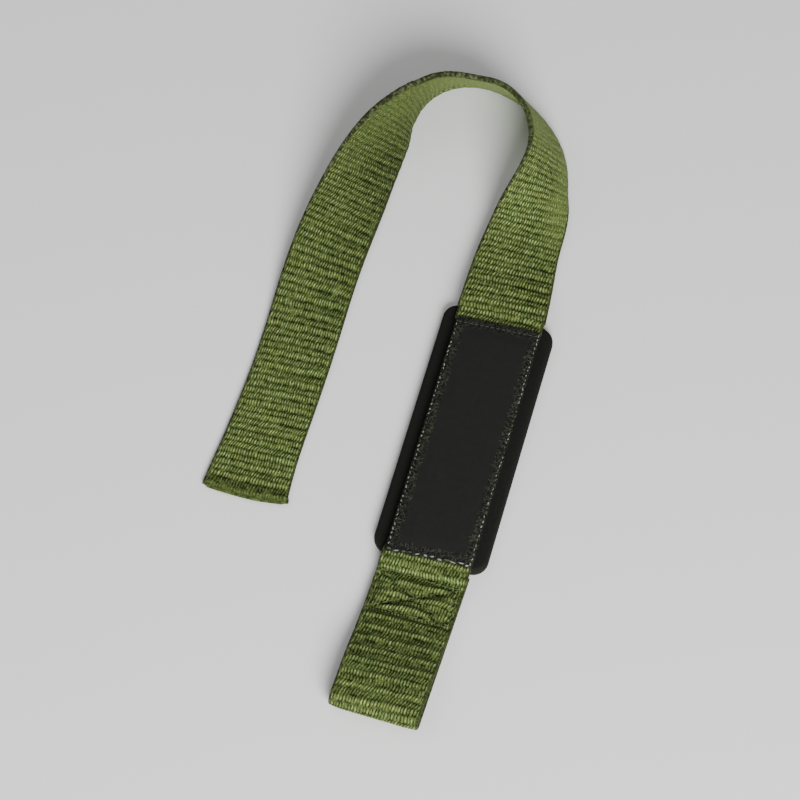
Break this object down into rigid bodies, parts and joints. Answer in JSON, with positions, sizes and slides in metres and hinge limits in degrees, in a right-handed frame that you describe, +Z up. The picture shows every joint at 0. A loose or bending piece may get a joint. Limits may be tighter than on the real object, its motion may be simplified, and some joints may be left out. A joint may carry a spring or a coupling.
{
  "type": "weightlifting strap",
  "caption": "Thick cotton webbing strap with a short folded loop, a cushioned wrist pad under a sewn cover patch and a long curving tail that wraps round a bar.",
  "frame": {"origin": "centre of the strap's outline on the floor it lies on", "axes": "+Y along the pad from the folded loop towards the arch, +X from the free tail towards the pad, +Z up"},
  "size_m": [0.1256, 0.3096, 0.0335],
  "materials": {
    "webbing_strap": "matt olive green cotton webbing with cross ribs",
    "neoprene_pad": "matt black foam rubber",
    "cover_patch": "smooth dull charcoal"
  },
  "bodies": {
    "root": {"webbing_strap": "webbing_strap", "neoprene_pad": "neoprene_pad", "cover_patch": "cover_patch"}
  },
  "joints": []
}
